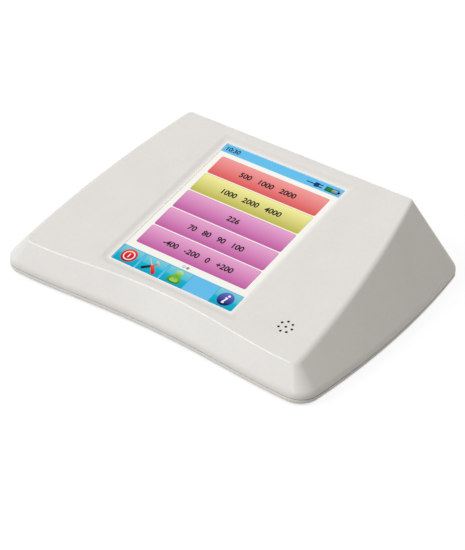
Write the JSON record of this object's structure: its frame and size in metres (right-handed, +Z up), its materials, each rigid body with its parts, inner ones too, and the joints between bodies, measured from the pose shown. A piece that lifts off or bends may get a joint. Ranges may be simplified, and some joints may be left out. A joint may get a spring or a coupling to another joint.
{
  "type": "tympanometer",
  "caption": "Table-top ear pressure tester: wide wedge housing with a tilted face, portrait touch display, speaker holes, rear sockets and an air pump inside.",
  "frame": {"origin": "centre of the bounding box's underside, on the table under the feet", "axes": "+X to the right along the front, +Y to the rear, +Z up"},
  "size_m": [0.229, 0.1634, 0.0517],
  "materials": {
    "shell": "fine satin texture",
    "base": "fine satin texture",
    "panel": "satin",
    "screen_surface": "glossy",
    "black_plastic": "satin",
    "grey_plastic": "satin",
    "white_plastic": "satin",
    "clear_plastic": "milky, glossy",
    "board": "solder mask, satin",
    "chips": "satin",
    "ribbon": "satin film",
    "foam": "matte foam",
    "rubber": "matte",
    "tube": "silicone, satin",
    "wire": "satin",
    "steel": "brushed",
    "plated": "nickel plated",
    "brass": "satin",
    "aluminium": "satin",
    "cell": "shrink film",
    "sleeve": "shrink film",
    "coil": "taped winding"
  },
  "bodies": {
    "housing": {"top_housing": "shell", "base_shell": "base", "rear_panel": "panel", "case_inserts": "brass", "case_screws": "steel", "rubber_feet": "rubber", "battery_door": "base", "door_screws": "steel", "display_gasket": "foam", "touch_panel": "screen_surface", "display_module": "aluminium", "display_carrier": "steel", "display_ribbon": "ribbon", "rear_ribbon": "ribbon", "speaker_seal": "foam", "speaker_frame": "steel", "speaker_cone": "black_plastic", "speaker_magnet": "steel", "speaker_bracket": "steel", "main_board": "board", "main_board_chips": "chips", "board_headers": "white_plastic", "clock_cell_holder": "black_plastic", "clock_cell": "steel", "audio_board": "board", "audio_board_chips": "chips", "board_spacers": "brass", "connector_board": "board", "board_screws": "steel", "small_screws": "steel", "probe_socket": "plated", "probe_socket_insert": "black_plastic", "probe_socket_nut": "plated", "air_outlet": "plated", "air_outlet_nut": "plated", "phone_sockets": "black_plastic", "phone_socket_nuts": "plated", "usb_shell": "plated", "usb_insert": "white_plastic", "power_inlet": "black_plastic", "power_inlet_pin": "plated", "power_switch": "black_plastic", "pump_bracket": "steel", "pump_motor": "aluminium", "pump_cylinder": "clear_plastic", "guide_rod": "steel", "manifold_block": "aluminium", "valve_coil": "coil", "pressure_sensor": "white_plastic", "air_tubes": "tube", "battery_cells": "cell", "battery_sleeve": "sleeve", "internal_leads": "wire"},
    "power_button": {"power_button": "grey_plastic"},
    "lead_screw": {"lead_screw": "steel"},
    "piston": {"pump_piston": "white_plastic", "piston_seal": "rubber"},
    "valve_plunger": {"valve_plunger": "steel"}
  },
  "joints": [
    {"name": "power_button_press", "type": "slide", "parent": "housing", "child": "power_button", "axis": [0, -1, 0], "range_m": [0, 0.0012], "stiffness_N_per_m": 1200, "springref_m": -0.001},
    {"name": "lead_screw_turn", "type": "hinge", "parent": "housing", "child": "lead_screw", "pos_m": [0.076, 0.04, 0.02001], "axis": [0, 1, 0], "range_deg": [-720, 1080]},
    {"name": "piston_slide", "type": "slide", "parent": "housing", "child": "piston", "axis": [0, 1, 0], "range_m": [-0.008, 0.012]},
    {"name": "valve_plunger_lift", "type": "slide", "parent": "housing", "child": "valve_plunger", "axis": [0, 0, 1], "range_m": [0, 0.0008], "stiffness_N_per_m": 400, "springref_m": -0.001}
  ],
  "couplings": [
    {"joint": "lead_screw_turn", "follows": "piston_slide", "rad_per_m": 1570.8}
  ]
}
